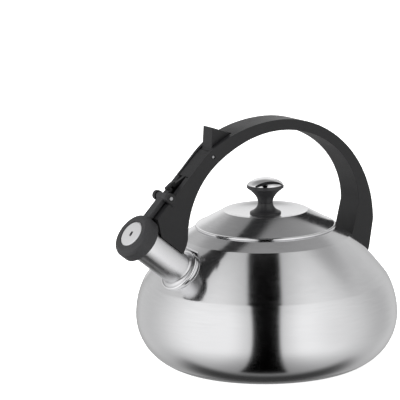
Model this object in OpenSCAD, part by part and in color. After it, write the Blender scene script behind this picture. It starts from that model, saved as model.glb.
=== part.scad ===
// Stovetop whistling kettle: a pressed steel vessel with a sandwich base, a lift-off lid, an arched
// handle, and a whistle cap on the spout that a thumb trigger swings open.
// +Z is up. The origin is the middle of the flat base. The spout points to -X, the handle lies in Y = 0.

/* [Vessel] */
// Radius at the widest ring
body_r = 106; // [90:0.5:128]
// Height of the widest ring
belly_z = 38.7; // [32:0.1:46]
// Radius of the flat that the kettle stands on
foot_r = 79.6; // [68:0.1:92]
// How far the upper edge of the belly lies inside the widest ring
crease_inset = 7.4; // [4:0.1:12]
// Height of the upper edge of the belly
crease_z = 68.3; // [57:0.1:80]
// How far the straight flank bows outwards
flank_bow = 1.2; // [0.5:0.1:3]
// Thickness of the vessel's sheet
wall = 0.8; // [0.6:0.1:1.2]
// Thickness of the sandwich base, cap and core together
base_h = 5; // [4:0.1:7]
// Thickness of the steel cap under the base
cap_wall = 0.6; // [0.4:0.1:1]

/* [Neck and lid] */
// Radius of the filling mouth
mouth_r = 52.6; // [44:0.1:60]
// Height of the rim that the lid rests on
rim_z = 110; // [104:0.1:126]
// Width of the flat rim
rim_w = 4; // [3:0.1:6]
// Width of the sloping shoulder round the rim
shoulder_w = 10.7; // [7:0.1:14]
// Drop of the shoulder from the rim to its outer edge
shoulder_drop = 7.1; // [4:0.1:10]
// Depth of the neck inside the mouth
neck_depth = 8.5; // [6:0.1:14]
// Radius of the lid's rolled edge
bead_r = 1; // [0.7:0.1:1.6]
// Radius of the crest round the lid's dished top
crest_r = 34.2; // [28:0.1:41]
// Height of that crest above the rim
crest_h = 13.8; // [10:0.1:18]
// Depth of the dish inside the crest
dish_depth = 3.2; // [1.5:0.1:5]
// Radius of the flat under the knob
knob_seat_r = 14; // [12:0.1:18]
// Thickness of the lid's sheet
lid_wall = 0.7; // [0.5:0.1:1.2]
// Play between the lid's skirt and the neck, on the radius
lid_play = 0.4; // [0.3:0.05:0.8]
// Depth of the skirt below the rim
skirt_depth = 9.5; // [6:0.1:14]

/* [Knob] */
// Radius of the knob's foot
knob_foot_r = 12.6; // [10:0.1:15]
// Radius of its waist
knob_waist_r = 6.1; // [5:0.1:9]
// Radius of its flared top
knob_top_r = 15; // [12:0.1:18]
// Height of the lower piece
knob_foot_h = 9.4; // [7:0.1:12]
// Height of the upper piece
knob_grip_h = 13.8; // [10:0.1:18]
// Height of the metal cap on the knob
knob_cap_h = 6.2; // [4:0.1:8]
// Radius of the knob's screw
knob_screw_r = 2; // [1.5:0.1:2.5]

/* [Spout] */
// Outer radius of the spout tube
spout_r = 13.3; // [11:0.1:16]
// Thickness of the spout tube
spout_wall = 0.8; // [0.6:0.1:1.4]
// Rise of the spout above the level, in degrees
spout_tilt = 38.8; // [34:0.1:44]
// Length of the spout from its collar to its mouth
spout_len = 49.6; // [44:0.1:60]
// How far the spout's foot lies inside the widest ring
spout_inset = 20.7; // [17:0.1:24]
// Radius of the round bead of the collar
collar_bead_r = 1.2; // [0.8:0.1:1.8]
// How far the spout flares out to its collar
flare = 2.9; // [1.5:0.1:4]

/* [Handle] */
// Width of the handle at the grip
grip_w = 24; // [20:0.1:29]
// Width of its front leg
leg_w = 18; // [17:0.1:21]
// Height of the top of the handle
handle_top = 198; // [188:0.5:238]
// Thickness of the grip at its top
grip_t = 8.8; // [7:0.1:11]
// Thickness of the rear leg at its widest
rear_leg_t = 15.2; // [12:0.1:19]
// How far the rear leg stands inside the widest ring
rear_inset = 4.5; // [3:0.1:8]
// Length of the straight front edge of the front leg
leg_run = 62; // [58:0.1:68]
// Tilt of that edge above the level, in degrees, when the handle rises by tilt_rise above its foot
leg_tilt = 43.5; // [41:0.1:47]
// Rise of the handle above the front leg's corner that the tilt is given for
tilt_rise = 66; // [60:0.5:72]
// Gap between the handle and the metal below it
foot_gap = 0.5; // [0.3:0.05:0.8]
// Width of the steel tongues that carry the handle
tongue_w = 12; // [10:0.1:13]
// Thickness of those tongues
tongue_t = 1.6; // [1.2:0.1:2.2]
// Radius of the handle screws
handle_screw_r = 2; // [1.5:0.1:2.5]

/* [Trigger and cap hinge] */
// Width of the channel in the front leg
channel_w = 13.6; // [12:0.1:14.2]
// Side play of the parts in the channel
side_play = 0.3; // [0.2:0.05:0.5]
// Radius of the hinge pins
pin_r = 1.25; // [1:0.05:1.5]
// Running clearance on the pins, on the radius
pin_play = 0.05; // [0.02:0.01:0.1]
// Swing of the trigger, in degrees
trigger_swing = 8; // [6:0.5:9]
// Turn of the cap for each degree of the trigger
cap_gain = 6; // [5:0.5:6]
// Radius of the trigger's hub
hub_r = 4.6; // [4.4:0.1:4.8]
// Radius of the cap lever's knuckle
knuckle_r = 3.2; // [3:0.1:3.5]
// Radius of the ears that hold the cap hinge
ear_r = 4; // [3.6:0.1:4.4]
// How far the ears stand out from the sides of the leg
ear_boss = 1.5; // [1:0.1:2.5]
// Width of the arm that carries the cap
arm_w = 9; // [8:0.1:12]
// Thickness of that arm
arm_t = 4; // [3:0.1:4.4]
// Width of the trigger's rib and the lever's tail
rib_w = 3.2; // [2.4:0.1:4]

/* [Whistle cap] */
// Outer radius of the cap
cap_r = 18.5; // [17.5:0.1:20]
// Depth of the cap
cap_len = 11.8; // [11:0.1:14]
// How far the cap reaches over the spout's mouth
cap_reach = 3.6; // [2:0.1:3.6]
// Play between the cap and the spout, on the radius
cap_play = 0.8; // [0.6:0.1:1.2]
// Width of the bevel round the cap's front
cap_bevel = 3.6; // [2:0.1:5]
// Radius of the steel disc in the cap's front
disc_r = 11.4; // [10:0.1:12]
// Thickness of the whistle's plates
plate_t = 0.6; // [0.4:0.1:0.8]
// Length of the whistle's slots
slot_len = 3.8; // [2.5:0.1:6]
// Width of those slots
slot_w = 1.4; // [1:0.1:2.4]
// Thickness of the seal on the spout's mouth
seal_t = 1.6; // [1.2:0.1:2]

/* [Hidden] */
$fn = 64;
eps = 0.01;
big = 300;

// ---- curves ----
// Points of a circular arc round c, from angle a0 to angle a1
function arc(c, r, a0, a1, steps) =
    [for (i = [0:steps]) let (a = a0 + (a1 - a0) * i / steps) c + r * [cos(a), sin(a)]];
// Points of a quarter of an ellipse with half axes s, which starts at angle a0
function quarter(c, s, a0, steps) =
    [for (i = [0:steps]) let (a = a0 - 90 * i / steps) c + [s.x * cos(a), s.y * sin(a)]];
// Points of a cubic curve from a to d, drawn towards b and c
function curve(a, b, c, d, steps) =
    [for (i = [0:steps]) let (t = i / steps, u = 1 - t)
        u * u * u * a + 3 * u * u * t * b + 3 * u * t * t * c + t * t * t * d];
function flip(points) = [for (i = [len(points) - 1:-1:0]) points[i]];

// ---- vessel outline, as radius and height ----
// The bowl is one arc from the foot to the widest ring, where it stands upright.
bowl_arc_r = (pow(body_r - foot_r, 2) + pow(belly_z, 2)) / (2 * (body_r - foot_r));
bowl_c = [body_r - bowl_arc_r, belly_z];
// The belly is one arc from the widest ring to the crease.
belly_dz = crease_z - belly_z;
belly_arc_r = (pow(crease_inset, 2) + pow(belly_dz, 2)) / (2 * crease_inset);
belly_c = [body_r - belly_arc_r, belly_z];
crease = [body_r - crease_inset, crease_z];
rim_r = mouth_r + rim_w;
shoulder = [rim_r + shoulder_w, rim_z - shoulder_drop];
// The flank is one arc from the crease to the shoulder, bowed out by flank_bow.
flank = shoulder - crease;
flank_out = [flank.y, -flank.x] / norm(flank);
flank_arc_r = (pow(norm(flank) / 2, 2) + pow(flank_bow, 2)) / (2 * flank_bow);
flank_c = (crease + shoulder) / 2 - flank_out * (flank_arc_r - flank_bow);
function angle_from(c, p) = atan2(p.y - c.y, p.x - c.x);
function bowl_angle(z, inset) = -acos(sqrt(1 - pow((belly_z - z) / (bowl_arc_r - inset), 2)));
function bowl_arc(z0, inset) =
    arc(bowl_c, bowl_arc_r - inset, bowl_angle(z0, inset), 0, 14);
function upper_arcs(inset) = concat(
    arc(belly_c, belly_arc_r - inset, 0, asin(belly_dz / belly_arc_r), 6),
    arc(flank_c, flank_arc_r - inset, angle_from(flank_c, crease), angle_from(flank_c, shoulder), 5));
vessel_outline = concat(
    [[0, base_h]], bowl_arc(base_h, 0), upper_arcs(0),
    [[rim_r, rim_z], [mouth_r, rim_z], [mouth_r, rim_z - neck_depth],
        [mouth_r + wall, rim_z - neck_depth], [mouth_r + wall, rim_z - wall],
        [rim_r - 0.3 * wall, rim_z - wall]],
    flip(upper_arcs(wall)), flip(bowl_arc(base_h + wall, wall)), [[0, base_h + wall]]);
// Height of the flank above a point at radius r
function flank_z(r) = flank_c.y + sqrt(pow(flank_arc_r, 2) - pow(r - flank_c.x, 2));

// The vessel as a full solid, grown outwards by a gap, for trimming what is fixed to it
module vessel_envelope(gap) rotate_extrude($fn = 128)
    polygon(concat([[0, -gap]], bowl_arc(0, -gap), upper_arcs(-gap),
        [[rim_r, rim_z + gap], [0, rim_z + gap]]));

// ---- spout frame: local Z runs out along the spout, local X points up from its top ----
spout_foot = [spout_inset - body_r, flank_z(body_r - spout_inset) + 1.1];
spout_dir = [-cos(spout_tilt), sin(spout_tilt)];
spout_up = [sin(spout_tilt), cos(spout_tilt)];
function on_spout(along, up) = spout_foot + along * spout_dir + up * spout_up;
module spout_frame() translate([spout_foot.x, 0, spout_foot.y]) rotate([0, spout_tilt - 90, 0]) children();

// ---- leg frame: local X runs up the front edge of the front leg, local Z points out of it ----
cap_back = spout_len - cap_reach;
leg_corner = on_spout(cap_back + 2.9, cap_r + 1.4);
leg_slope = atan(tan(leg_tilt) * (handle_top - leg_corner.y) / tilt_rise);
leg_dir = [cos(leg_slope), sin(leg_slope)];
leg_out = [-sin(leg_slope), cos(leg_slope)];
function on_leg(along, out) = leg_corner + along * leg_dir + out * leg_out;
module leg_frame() translate([leg_corner.x, 0, leg_corner.y]) rotate([0, -leg_slope, 0]) children();

// An XZ outline made into a plate of width w, centred on Y = 0
module slab(points, w) rotate([90, 0, 0]) linear_extrude(w, center = true) polygon(points);
// A round bar along Y at an XZ point, between two Y values
module bar(p, r, y0, y1) translate([p.x, y1, p.y]) rotate([90, 0, 0]) cylinder(r = r, h = y1 - y0);

// ---- hinges ----
trigger_hinge = on_leg(68.5, -5.7);
cap_hinge = on_leg(19.2, 2.8);
hinge_span = norm(trigger_hinge - cap_hinge);
hinge_dir = (trigger_hinge - cap_hinge) / hinge_span;
module link_frame() translate([cap_hinge.x, 0, cap_hinge.y])
    rotate([0, -atan2(hinge_dir.y, hinge_dir.x), 0]) children();
// The tail is as long as makes the rib and the tail's tip travel together over the whole swing.
tail_lead = 6;
tail_len = hinge_span * sin(trigger_swing)
    / (sin(tail_lead) + sin((cap_gain + 1) * trigger_swing - tail_lead));
tail_tip_r = 1.2;
link_gap = 0.3;
rib_foot = tail_len * sin(tail_lead) + tail_tip_r + link_gap;
rib_t = 2.2;
channel_half = channel_w / 2;
moving_half = channel_half - side_play;

// ---- handle outline ----
rear_x = body_r - rear_inset;
inner_front_x = leg_corner.x + 28.5;
apex_x = (inner_front_x + rear_x - rear_leg_t) / 2 + 2;
curve_start = on_leg(leg_run, 0);
crown = apex_x - curve_start.x;
inner_top = handle_top - grip_t;
heel = [rear_x - 4, 82];
handle_outline = concat(
    [on_spout(10, 6), on_spout(36.9, 6), on_spout(36.9, 10.6), leg_corner],
    curve(curve_start, curve_start + 0.34 * crown * leg_dir, [apex_x - 0.37 * crown, handle_top],
        [apex_x, handle_top], 12),
    quarter([apex_x, 104], [rear_x - apex_x, handle_top - 104], 90, 20),
    [heel, [rear_x - 7.5, 70], [rear_x - 25, 86], [rear_x - rear_leg_t - 5.3, 100]],
    flip(quarter([apex_x, 120], [rear_x - rear_leg_t - apex_x, inner_top - 120], 90, 18)),
    flip(quarter([apex_x, 112], [apex_x - inner_front_x, inner_top - 112], 180, 18)),
    [[inner_front_x - 1.5, 107]]);

// ---- whistle cap, along the spout ----
cap_front = cap_back + cap_len;
seal_back = spout_len;
inner_plate_back = seal_back + seal_t;
outer_plate_back = cap_front - 1.1 - plate_t;
socket_r = spout_r + cap_play;

module vessel() color("silver") difference() {
    rotate_extrude($fn = 128) polygon(vessel_outline);
    spout_frame() translate([0, 0, -40]) cylinder(r = spout_r - spout_wall, h = 60);
}

module base_core() color("gainsboro") rotate_extrude($fn = 128)
    polygon(concat([[0, cap_wall]],
        [for (p = bowl_arc(cap_wall, cap_wall)) if (p.y < base_h) p],
        [[bowl_c.x + (bowl_arc_r - cap_wall) * cos(bowl_angle(base_h, cap_wall)), base_h], [0, base_h]]));

module base_cap() color("dimgray") difference() {
    rotate_extrude($fn = 128) polygon(concat([[0, 0]],
        [for (p = bowl_arc(0, 0)) if (p.y < base_h) p],
        [[bowl_c.x + bowl_arc_r * cos(bowl_angle(base_h, 0)), base_h], [0, base_h]]));
    base_core();
}

module spout_tube() color("silver") difference() {
    spout_frame() rotate_extrude() polygon(concat(
        [[spout_r - spout_wall, -14], [spout_r + flare, -14]],
        arc([spout_r + flare, 1 + flare], flare, 270, 180, 8),
        [[spout_r, spout_len], [spout_r - spout_wall, spout_len]]));
    vessel_envelope(0);
}

// The collar fits round the spout's foot: a plain band with a bead on its rim.
module spout_collar() color("white") difference() {
    spout_frame() rotate_extrude() polygon(concat(
        [[spout_r + flare, -14], [spout_r + flare + 1.2 * collar_bead_r, -14]],
        arc([spout_r + flare + collar_bead_r / 2, 0.4], collar_bead_r, -acos(0.7), 120, 10)));
    vessel_envelope(0);
}

// ---- brackets that carry the handle ----
// The front tongue leaves the flank above the collar, runs along the spout and bends up into the leg.
function above_spout_z(x, up) = spout_foot.y + up * spout_up.y
    + (x - spout_foot.x - up * spout_up.x) * spout_dir.y / spout_dir.x;
tongue_knee = [inner_front_x - 2.2, above_spout_z(inner_front_x - 2.2, spout_r + 3.2)];
tongue_end = tongue_knee + [-2.8, 13.5];
front_path = [on_spout(-8, spout_r + flare + 2 * collar_bead_r + tongue_t), tongue_knee, tongue_end];
rear_tongue_x = rear_x - rear_leg_t / 2 - 4;
rear_tongue_top = 112;
front_screw_z = tongue_knee.y + 8;
rear_screw_z = 103;
screw_head_r = 3.6;
screw_head_h = 2.2;
// Where the heads of the handle screws bear, inside the arch
front_seat_x = tongue_end.x + tongue_t + 1.4;
rear_seat_x = rear_tongue_x - tongue_t - 1.2;

// A strip of sheet metal, t thick and w wide, that follows a path in XZ
module strip(path, t, w) {
    last = len(path) - 1;
    legs = [for (i = [0:last - 1]) (path[i + 1] - path[i]) / norm(path[i + 1] - path[i])];
    sums = [for (i = [0:last]) legs[max(i - 1, 0)] + legs[min(i, last - 1)]];
    sides = [for (s = sums) [-s.y, s.x] * t / (s * s)];
    slab(concat([for (i = [0:last]) path[i] + sides[i]], [for (i = [last:-1:0]) path[i] - sides[i]]), w);
}

module front_bracket() color("silver") difference() {
    strip(front_path, tongue_t, tongue_w);
    vessel_envelope(0);
    translate([-big, 0, front_screw_z]) rotate([0, 90, 0]) cylinder(r = handle_screw_r + 0.2, h = big);
}

// The rear tongue stands on a flange that lies along the flank.
rear_foot = [rear_tongue_x, flank_z(rear_tongue_x)];
rear_out = (rear_foot - flank_c) / norm(rear_foot - flank_c);
rear_along = [rear_out.y, -rear_out.x];
function on_flank(along, out) = rear_foot + along * rear_along + out * rear_out;
module rear_flange(grow) slab([on_flank(-5 - grow, -2), on_flank(5 + grow, -2),
    on_flank(5 + grow, tongue_t + grow), on_flank(-5 - grow, tongue_t + grow)], tongue_w + 2 * grow);

module rear_bracket() color("silver") {
    difference() {
        rear_flange(0);
        vessel_envelope(0);
    }
    tongue_foot = rear_foot.y + 1.2;
    difference() {
        translate([rear_tongue_x - tongue_t / 2, -tongue_w / 2, tongue_foot])
            cube([tongue_t, tongue_w, rear_tongue_top - tongue_foot]);
        translate([0, 0, rear_screw_z]) rotate([0, 90, 0]) cylinder(r = handle_screw_r + 0.2, h = big);
    }
}

// ---- handle ----
// The channel of the trigger, in the leg frame
channel_outline = [[14.5, 12], [14.5, -1.2], [17, -6.6], [30, -7], [42, -8.6], [61, -9.6], [63.4, -10.8],
    [73.6, -10.8], [77, -8.6], [94, -12.5], [96, 12]];
// Seen from above, the front leg is narrower than the grip.
taper_x = [inner_front_x + 12, inner_front_x + 50];
module plan_shape() translate([0, 0, 50]) linear_extrude(handle_top) polygon([
    [-big, -leg_w / 2], [taper_x[0], -leg_w / 2], [taper_x[1], -grip_w / 2], [big, -grip_w / 2],
    [big, grip_w / 2], [taper_x[1], grip_w / 2], [taper_x[0], leg_w / 2], [-big, leg_w / 2]]);
function half_width(x) = leg_w / 2 + (grip_w - leg_w) / 2
    * min(1, max(0, (x - taper_x[0]) / (taper_x[1] - taper_x[0])));

// The ears that hold the cap's hinge: two round bosses, each on a web a little narrower than itself
module ears() {
    bar(cap_hinge, ear_r, -leg_w / 2 - ear_boss, leg_w / 2 + ear_boss);
    leg_frame() translate([19.2 - 0.8 * ear_r, -leg_w / 2 - 0.8 * ear_boss, -ear_r])
        cube([1.6 * ear_r, leg_w + 1.6 * ear_boss, 2.8 + ear_r]);
}

module handle() color("dimgray") difference() {
    union() {
        intersection() {
            slab(handle_outline, grip_w);
            plan_shape();
        }
        ears();
    }
    vessel_envelope(foot_gap);
    spout_frame() {
        cylinder(r = spout_r + foot_gap, h = big);
        translate([0, 0, -1]) cylinder(r = spout_r + flare + 1.5 * collar_bead_r + foot_gap,
            h = 1.4 + 2 * collar_bead_r);
        translate([0, 0, cap_back - foot_gap]) cylinder(r = cap_r + foot_gap, h = big);
    }
    leg_frame() slab(channel_outline, channel_w);
    bar(cap_hinge, ear_r + 1, -channel_half, channel_half);
    bar(cap_hinge, pin_r, -grip_w, grip_w);
    bar(trigger_hinge, pin_r, -grip_w, grip_w);
    // Sockets for the tongues, and holes for their screws from inside the arch
    strip([on_spout(8, 18), tongue_knee, tongue_end + [-0.2, 1.5]], tongue_t + 0.4, tongue_w + 0.6);
    translate([rear_tongue_x - tongue_t / 2 - 0.2, -tongue_w / 2 - 0.3, 60])
        cube([tongue_t + 0.4, tongue_w + 0.6, rear_tongue_top - 59]);
    rear_flange(0.3);
    translate([0, 0, front_screw_z]) rotate([0, -90, 0]) {
        cylinder(r = handle_screw_r, h = 11 - front_seat_x);
        cylinder(r = screw_head_r + 0.3, h = -front_seat_x);
    }
    translate([0, 0, rear_screw_z]) rotate([0, 90, 0]) {
        cylinder(r = handle_screw_r, h = rear_seat_x + 10);
        cylinder(r = screw_head_r + 0.3, h = rear_seat_x);
    }
}

// A pan-head screw whose head rests at the origin, with a crossed recess; its shank points to +Z
module screw(shank_r, shank_len) difference() {
    union() {
        translate([0, 0, -screw_head_h]) cylinder(r1 = screw_head_r - 0.6, r2 = screw_head_r, h = 0.8, $fn = 48);
        translate([0, 0, 0.8 - screw_head_h]) cylinder(r = screw_head_r, h = screw_head_h - 0.8);
        cylinder(r = shank_r, h = shank_len);
    }
    for (turn = [0, 90]) rotate([0, 0, turn])
        translate([-2, -0.45, -screw_head_h - eps]) cube([4, 0.9, 1.3]);
}

module front_handle_screw() color("silver")
    translate([front_seat_x, 0, front_screw_z]) rotate([0, -90, 0])
        screw(handle_screw_r, 9.5);

module rear_handle_screw() color("silver")
    translate([rear_seat_x, 0, rear_screw_z]) rotate([0, 90, 0])
        screw(handle_screw_r, 8.5);

// ---- lid, as radius and height; it lifts straight up ----
bead_c = [rim_r - 0.6, rim_z + bead_r];
crest = [crest_r, rim_z + crest_h];
seat_z = crest.y - dish_depth;
lid_edge = [bead_c.x - 0.6, rim_z + 2 * bead_r];
function lid_slope_z(r) = lid_edge.y + (lid_edge.x - r) * (crest.y - lid_edge.y) / (lid_edge.x - crest.x);
skirt_r = mouth_r - lid_play;
lid_under = lid_wall * norm(lid_edge - crest) / (lid_edge.x - crest.x);

module lid_shell() color("silver") difference() {
    rotate_extrude($fn = 128) polygon(concat(
        [[0, seat_z - lid_wall], [knob_seat_r, seat_z - lid_wall], [crest.x, crest.y - lid_under],
            [lid_edge.x - 0.9, lid_slope_z(lid_edge.x - 0.9) - lid_under], [lid_edge.x - 0.9, rim_z],
            [bead_c.x, rim_z]],
        arc(bead_c, bead_r, -75, 90, 8), [lid_edge],
        curve(crest, crest - [6, 1.4], [knob_seat_r + 6, seat_z], [knob_seat_r, seat_z], 8),
        [[0, seat_z]]));
    translate([0, 0, seat_z - 5]) cylinder(r = knob_screw_r + 0.2, h = 10);
}

module lid_skirt() color("silver") rotate_extrude($fn = 128) polygon([
    [skirt_r - lid_wall, rim_z - skirt_depth], [skirt_r, rim_z - skirt_depth],
    [skirt_r, lid_slope_z(skirt_r) - lid_under],
    [skirt_r - lid_wall, lid_slope_z(skirt_r - lid_wall) - lid_under]]);

// ---- knob ----
waist_z = seat_z + knob_foot_h;
grip_top_z = waist_z + knob_grip_h;

module knob_foot() color("dimgray") difference() {
    rotate_extrude() polygon(concat(
        [[0, seat_z], [knob_foot_r, seat_z], [knob_foot_r, seat_z + 1]],
        curve([knob_foot_r - 0.6, seat_z + 1.6], [knob_waist_r + 2, seat_z + 3],
            [knob_waist_r, waist_z - 3.5], [knob_waist_r, waist_z - 0.3], 10),
        [[0, waist_z - 0.3]]));
    translate([0, 0, seat_z - 1]) cylinder(r = knob_screw_r + 0.2, h = knob_foot_h + 2);
}

module knob_grip() color("dimgray") difference() {
    rotate_extrude() polygon(concat(
        [[0, waist_z - 0.3], [knob_waist_r - 0.6, waist_z - 0.3], [knob_waist_r - 0.6, waist_z]],
        curve([knob_waist_r, waist_z], [knob_waist_r + 0.5, waist_z + 6],
            [knob_top_r - 2.5, grip_top_z - 4], [knob_top_r, grip_top_z - 2], 10),
        [[knob_top_r, grip_top_z - 0.4], [knob_top_r - 0.4, grip_top_z], [0, grip_top_z]]));
    translate([0, 0, waist_z - 1]) cylinder(r = knob_screw_r, h = 8);
}

module knob_cap() color("white") rotate_extrude() polygon(concat(
    [[0, grip_top_z], [knob_top_r - 0.8, grip_top_z], [knob_top_r - 0.5, grip_top_z + 1]],
    curve([knob_top_r - 0.9, grip_top_z + 1.4], [knob_top_r - 3.5, grip_top_z + 4.4],
        [knob_top_r / 3, grip_top_z + knob_cap_h], [0, grip_top_z + knob_cap_h], 10)));

washer_t = 1;
module knob_washer() color("silver") translate([0, 0, seat_z - lid_wall - washer_t]) difference() {
    cylinder(r = 6.5, h = washer_t);
    translate([0, 0, -1]) cylinder(r = knob_screw_r + 0.2, h = washer_t + 2);
}

module knob_screw() color("silver") translate([0, 0, seat_z - lid_wall - washer_t])
    screw(knob_screw_r, knob_foot_h + 7);

// ---- trigger ----
module trigger() color("dimgray") difference() {
    union() {
        bar(trigger_hinge, hub_r, -moving_half, moving_half);
        // Wide arm that fills the channel
        leg_frame() slab([[43, -0.4], [43, -3.6], [66, -8], [71, -4], [66, -0.8]], 2 * moving_half);
        // Thumb piece that stands out of the handle
        translate([trigger_hinge.x, 0, trigger_hinge.y]) slab([[-3, 2], [0.4, 6], [1.7, 23], [18.5, 16.6],
            [17, 13.2], [8, 5.5], [4.5, 0]], 2 * moving_half);
        // Rib that presses on the cap lever's tail
        leg_frame() slab([[44, -0.8], [44, -3.4], [33, 0.4], [30, 1.2], [30, 3.4], [33, 2.6]], rib_w);
        link_frame() slab([[5, rib_foot], [5, rib_foot + rib_t - 0.6], [5.6, rib_foot + rib_t],
            [11.5, rib_foot + rib_t], [14.5, rib_foot + rib_t - 0.8], [13.5, rib_foot - 1.2],
            [11, rib_foot]], rib_w);
    }
    bar(trigger_hinge, pin_r + pin_play, -grip_w, grip_w);
    // Pocket for the return spring, open towards the floor of the channel
    bar(trigger_hinge, hub_r - 1, 2.4, grip_w);
    leg_frame() translate([56, 2.4, -12]) cube([12.5, grip_w, 4.8]);
}

module trigger_pin() color("white") bar(trigger_hinge, pin_r, -half_width(trigger_hinge.x),
    half_width(trigger_hinge.x));

// The closely wound coils of a torsion spring round a pin
module torsion_spring(p, coil_r, wire_r, y0, coils) translate([p.x, y0, p.y]) rotate([-90, 0, 0])
    rotate_extrude() for (i = [0:coils - 1])
        translate([coil_r, wire_r * (1 + 1.9 * i)]) circle(r = wire_r, $fn = 24);

// A straight piece of wire between two XZ points at one Y value
module wire(a, b, r, y) translate([a.x, y, a.y]) rotate([0, 90 - atan2(b.y - a.y, b.x - a.x), 0])
    cylinder(r = r, h = norm(b - a), $fn = 16);

trigger_wire_r = 0.4;
module trigger_spring() color("silver") {
    torsion_spring(trigger_hinge, 2.4, trigger_wire_r, 2.9, 4);
    wire(on_leg(68.5, -5.7 - 2.3), on_leg(59, -9.1), trigger_wire_r - 0.06, 3 + trigger_wire_r);
}

// ---- cap lever ----
arm_len = norm(on_spout(cap_back + cap_len / 2, cap_r) - cap_hinge);
module cap_lever() color("dimgray") difference() {
    union() {
        difference() {
            spout_frame() rotate_extrude() polygon([
                [0, cap_back], [cap_r - 0.5, cap_back], [cap_r, cap_back + 0.5],
                [cap_r, cap_front - cap_bevel], [cap_r - 1, cap_front - cap_bevel * 0.45],
                [cap_r - cap_bevel, cap_front], [0, cap_front]]);
            spout_frame() translate([0, 0, -big]) cylinder(r = socket_r, h = big + inner_plate_back);
        }
        bar(cap_hinge, knuckle_r, -moving_half, moving_half);
        leg_frame() translate([19.2 - arm_len - 2, -arm_w / 2, 2.8 - arm_t / 2])
            cube([arm_len + 2, arm_w, arm_t]);
        link_frame() {
            slab([[0, -2.6], [0, 0.6], [tail_len * cos(tail_lead) - 0.6, 0.6],
                [tail_len * cos(tail_lead), tail_len * sin(tail_lead) - tail_tip_r]], rib_w);
            bar([tail_len * cos(tail_lead), tail_len * sin(tail_lead)], tail_tip_r, -rib_w / 2, rib_w / 2);
        }
    }
    spout_frame() {
        translate([0, 0, -big]) cylinder(r = socket_r, h = big + inner_plate_back);
        cylinder(r = disc_r, h = cap_front - 0.9);
        cylinder(r = disc_r - 0.7, h = big);
    }
    bar(cap_hinge, pin_r + pin_play, -grip_w, grip_w);
    // Pocket for the closing spring
    bar(cap_hinge, knuckle_r - 0.7, 2.2, grip_w);
}

module cap_pin() color("white") bar(cap_hinge, pin_r, -leg_w / 2 - ear_boss, leg_w / 2 + ear_boss);

module cap_spring() color("silver") torsion_spring(cap_hinge, 1.85, 0.3, 2.6, 6);

module cap_seal() color("gray") spout_frame() translate([0, 0, seal_back]) difference() {
    cylinder(r = socket_r, h = seal_t);
    translate([0, 0, -1]) cylinder(r = disc_r - 1.6, h = seal_t + 2);
}

// ---- whistle: two plates with a chamber between them ----
module whistle_plate(r, back) spout_frame() translate([0, 0, back]) difference() {
    cylinder(r = r, h = plate_t);
    translate([-slot_len / 2, -slot_w / 2, -1]) cube([slot_len, slot_w, plate_t + 2]);
}

module whistle_inner_plate() color("silver") whistle_plate(disc_r - 0.1, inner_plate_back);

module whistle_spacer() color("silver") spout_frame() translate([0, 0, inner_plate_back + plate_t])
    difference() {
        cylinder(r = disc_r - 0.1, h = outer_plate_back - inner_plate_back - plate_t);
        translate([0, 0, -1]) cylinder(r = disc_r - 1.6, h = cap_len);
    }

module whistle_outer_plate() color("white") whistle_plate(disc_r - 0.1, outer_plate_back);

vessel();
base_core();
base_cap();
spout_tube();
spout_collar();
front_bracket();
rear_bracket();
handle();
front_handle_screw();
rear_handle_screw();
lid_shell();
lid_skirt();
knob_foot();
knob_grip();
knob_cap();
knob_screw();
knob_washer();
trigger();
trigger_pin();
trigger_spring();
cap_lever();
cap_pin();
cap_spring();
cap_seal();
whistle_inner_plate();
whistle_spacer();
whistle_outer_plate();
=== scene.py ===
# Stovetop whistling kettle: the looks of a pressed steel kettle with an arched handle and a whistle cap.
# +Z is up, the spout points to -X, and the handle lies in the plane Y = 0. Profiles and places are written
# in millimetres, and mm turns them into Blender's metres.
import math

import bmesh
import bpy
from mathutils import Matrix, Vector


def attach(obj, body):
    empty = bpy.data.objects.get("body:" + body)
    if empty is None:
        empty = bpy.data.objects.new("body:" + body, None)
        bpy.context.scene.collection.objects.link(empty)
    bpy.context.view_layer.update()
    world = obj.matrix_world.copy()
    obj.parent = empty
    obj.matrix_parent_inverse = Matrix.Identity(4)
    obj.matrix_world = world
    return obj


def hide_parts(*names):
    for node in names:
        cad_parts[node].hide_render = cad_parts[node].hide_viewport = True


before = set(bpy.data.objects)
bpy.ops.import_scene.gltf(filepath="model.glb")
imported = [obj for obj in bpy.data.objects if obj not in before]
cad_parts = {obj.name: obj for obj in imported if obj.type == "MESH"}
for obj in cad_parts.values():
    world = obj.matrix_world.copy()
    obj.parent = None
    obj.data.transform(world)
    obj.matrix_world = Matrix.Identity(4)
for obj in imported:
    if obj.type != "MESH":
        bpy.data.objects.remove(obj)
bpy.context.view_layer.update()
mm = 0.001


# ---- Studio: a white sweep in a bright tent, with a dark gap where the camera looks in ----
# The kettle stands on a plain white surface inside a pale tent that is brightest near the horizon. The
# tent's opening is a narrow dark strip, and two softboxes and a top light lift the plastic.
def select_only(thing):
    if bpy.context.object and bpy.context.object.mode == 'EDIT':
        bpy.ops.object.mode_set(mode='OBJECT')
    bpy.ops.object.select_all(action='DESELECT')
    if thing:
        thing.select_set(True)
        bpy.context.view_layer.objects.active = thing


def new_material(name):
    material = bpy.data.materials.new(name)
    material.use_nodes = True
    nodes, links = material.node_tree.nodes, material.node_tree.links
    return material, nodes, links, nodes["Principled BSDF"]


floor_width, floor_drop = 400, 0.0002
select_only(None)
bpy.ops.mesh.primitive_plane_add(size=floor_width, location=(0, 0, -floor_drop))
sweep = bpy.context.object
sweep.name = "studio_floor"
white_paper, nodes, links, shader = new_material("white paper")
shader.inputs["Base Color"].default_value = (0.9, 0.9, 0.9, 1)
shader.inputs["Roughness"].default_value = 0.9
shader.inputs["Specular IOR Level"].default_value = 0.0
shader.inputs["Emission Color"].default_value = (1, 1, 1, 1)
shader.inputs["Emission Strength"].default_value = 0.8
sweep.data.materials.append(white_paper)
sweep.visible_glossy = False

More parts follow.
